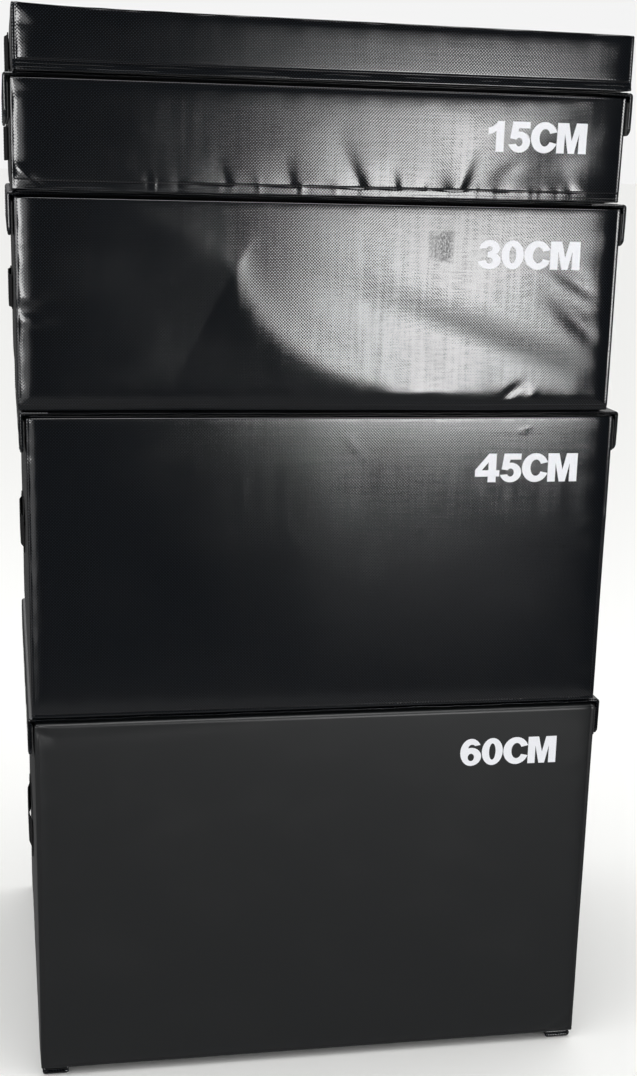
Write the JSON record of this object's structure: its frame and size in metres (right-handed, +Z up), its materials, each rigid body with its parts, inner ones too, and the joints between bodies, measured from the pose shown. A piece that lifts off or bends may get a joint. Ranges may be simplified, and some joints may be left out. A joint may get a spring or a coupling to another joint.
{
  "type": "plyo box",
  "caption": "Stack of soft foam plyometric jump boxes of graded heights in black coated-fabric covers, joined by hook-and-loop flaps, with webbing handles and rear zips.",
  "frame": {"origin": "on the floor, at the centre of the stack's box of extents", "axes": "+Z up, -Y out of the numbered front faces, +X to the right for someone who looks at them"},
  "size_m": [0.9136, 0.737, 1.5932],
  "materials": {
    "vinyl_cover": "satin",
    "foam": "matte",
    "vinyl_flap": "satin",
    "hook_and_loop": "matte",
    "webbing": "matte",
    "thread": "satin",
    "white_print": "satin",
    "zip_tape": "matte",
    "zip_metal": "gloss"
  },
  "bodies": {
    "box_60": {"cover_60": "vinyl_cover", "foam_core_60": "foam", "zip_tape_60": "zip_tape", "flap_base_left_60": "vinyl_flap", "handle_left_60": "webbing", "loop_strip_left_60": "hook_and_loop", "flap_left_60": "vinyl_flap", "flap_base_right_60": "vinyl_flap", "handle_right_60": "webbing", "loop_strip_right_60": "hook_and_loop", "flap_right_60": "vinyl_flap"},
    "zip_slider_60": {"zip_slider_60": "zip_metal"},
    "box_45": {"cover_45": "vinyl_cover", "foam_core_45": "foam", "zip_tape_45": "zip_tape", "flap_base_left_45": "vinyl_flap", "handle_left_45": "webbing", "loop_strip_left_45": "hook_and_loop", "flap_base_right_45": "vinyl_flap", "handle_right_45": "webbing", "loop_strip_right_45": "hook_and_loop"},
    "flap_left_45": {"flap_left_45": "vinyl_flap"},
    "flap_right_45": {"flap_right_45": "vinyl_flap"},
    "zip_slider_45": {"zip_slider_45": "zip_metal"},
    "box_30": {"cover_30": "vinyl_cover", "foam_core_30": "foam", "zip_tape_30": "zip_tape", "flap_base_left_30": "vinyl_flap", "handle_left_30": "webbing", "loop_strip_left_30": "hook_and_loop", "flap_base_right_30": "vinyl_flap", "handle_right_30": "webbing", "loop_strip_right_30": "hook_and_loop"},
    "flap_left_30": {"flap_left_30": "vinyl_flap"},
    "flap_right_30": {"flap_right_30": "vinyl_flap"},
    "zip_slider_30": {"zip_slider_30": "zip_metal"},
    "box_15": {"cover_15": "vinyl_cover", "foam_core_15": "foam", "zip_tape_15": "zip_tape", "flap_base_left_15": "vinyl_flap", "handle_left_15": "webbing", "loop_strip_left_15": "hook_and_loop", "flap_base_right_15": "vinyl_flap", "handle_right_15": "webbing", "loop_strip_right_15": "hook_and_loop"},
    "flap_left_15": {"flap_left_15": "vinyl_flap"},
    "flap_right_15": {"flap_right_15": "vinyl_flap"},
    "zip_slider_15": {"zip_slider_15": "zip_metal"},
    "box_7_5": {"cover_7_5": "vinyl_cover", "foam_core_7_5": "foam", "zip_tape_7_5": "zip_tape", "flap_base_left_7_5": "vinyl_flap", "handle_left_7_5": "webbing", "flap_base_right_7_5": "vinyl_flap", "handle_right_7_5": "webbing"},
    "flap_left_7_5": {"flap_left_7_5": "vinyl_flap"},
    "flap_right_7_5": {"flap_right_7_5": "vinyl_flap"},
    "zip_slider_7_5": {"zip_slider_7_5": "zip_metal"}
  },
  "joints": [
    {"name": "zip_60_open", "type": "slide", "parent": "box_60", "child": "zip_slider_60", "axis": [-1, 0, 0], "range_m": [0, 0.744]},
    {"name": "lift_45", "type": "slide", "parent": "box_60", "child": "box_45", "axis": [0, 0, 1], "range_m": [0, 0.15]},
    {"name": "flap_left_45_fold", "type": "hinge", "parent": "box_45", "child": "flap_left_45", "pos_m": [-0.4372, -0.0035, 0.59215], "axis": [0, 1, 0], "range_deg": [0, 120]},
    {"name": "flap_right_45_fold", "type": "hinge", "parent": "box_45", "child": "flap_right_45", "pos_m": [0.4527, -0.0035, 0.59215], "axis": [0, -1, 0], "range_deg": [0, 120]},
    {"name": "zip_45_open", "type": "slide", "parent": "box_45", "child": "zip_slider_45", "axis": [-1, 0, 0], "range_m": [0, 0.744]},
    {"name": "lift_30", "type": "slide", "parent": "box_45", "child": "box_30", "axis": [0, 0, 1], "range_m": [0, 0.15]},
    {"name": "flap_left_30_fold", "type": "hinge", "parent": "box_30", "child": "flap_left_30", "pos_m": [-0.4404, -0.0035, 1.05045], "axis": [0, 1, 0], "range_deg": [0, 85]},
    {"name": "flap_right_30_fold", "type": "hinge", "parent": "box_30", "child": "flap_right_30", "pos_m": [0.4495, -0.0035, 1.05045], "axis": [0, -1, 0], "range_deg": [0, 120]},
    {"name": "zip_30_open", "type": "slide", "parent": "box_30", "child": "zip_slider_30", "axis": [-1, 0, 0], "range_m": [0, 0.744]},
    {"name": "lift_15", "type": "slide", "parent": "box_30", "child": "box_15", "axis": [0, 0, 1], "range_m": [0, 0.15]},
    {"name": "flap_left_15_fold", "type": "hinge", "parent": "box_15", "child": "flap_left_15", "pos_m": [-0.4506, -0.0035, 1.35475], "axis": [0, 1, 0], "range_deg": [0, 120]},
    {"name": "flap_right_15_fold", "type": "hinge", "parent": "box_15", "child": "flap_right_15", "pos_m": [0.4393, -0.0035, 1.35475], "axis": [0, -1, 0], "range_deg": [0, 120]},
    {"name": "zip_15_open", "type": "slide", "parent": "box_15", "child": "zip_slider_15", "axis": [-1, 0, 0], "range_m": [0, 0.744]},
    {"name": "lift_7_5", "type": "slide", "parent": "box_15", "child": "box_7_5", "axis": [0, 0, 1], "range_m": [0, 0.15]},
    {"name": "flap_left_7_5_fold", "type": "hinge", "parent": "box_7_5", "child": "flap_left_7_5", "pos_m": [-0.4527, -0.0035, 1.51105], "axis": [0, 1, 0], "range_deg": [0, 120]},
    {"name": "flap_right_7_5_fold", "type": "hinge", "parent": "box_7_5", "child": "flap_right_7_5", "pos_m": [0.4372, -0.0035, 1.51105], "axis": [0, -1, 0], "range_deg": [0, 120]},
    {"name": "zip_7_5_open", "type": "slide", "parent": "box_7_5", "child": "zip_slider_7_5", "axis": [-1, 0, 0], "range_m": [0, 0.744]}
  ]
}
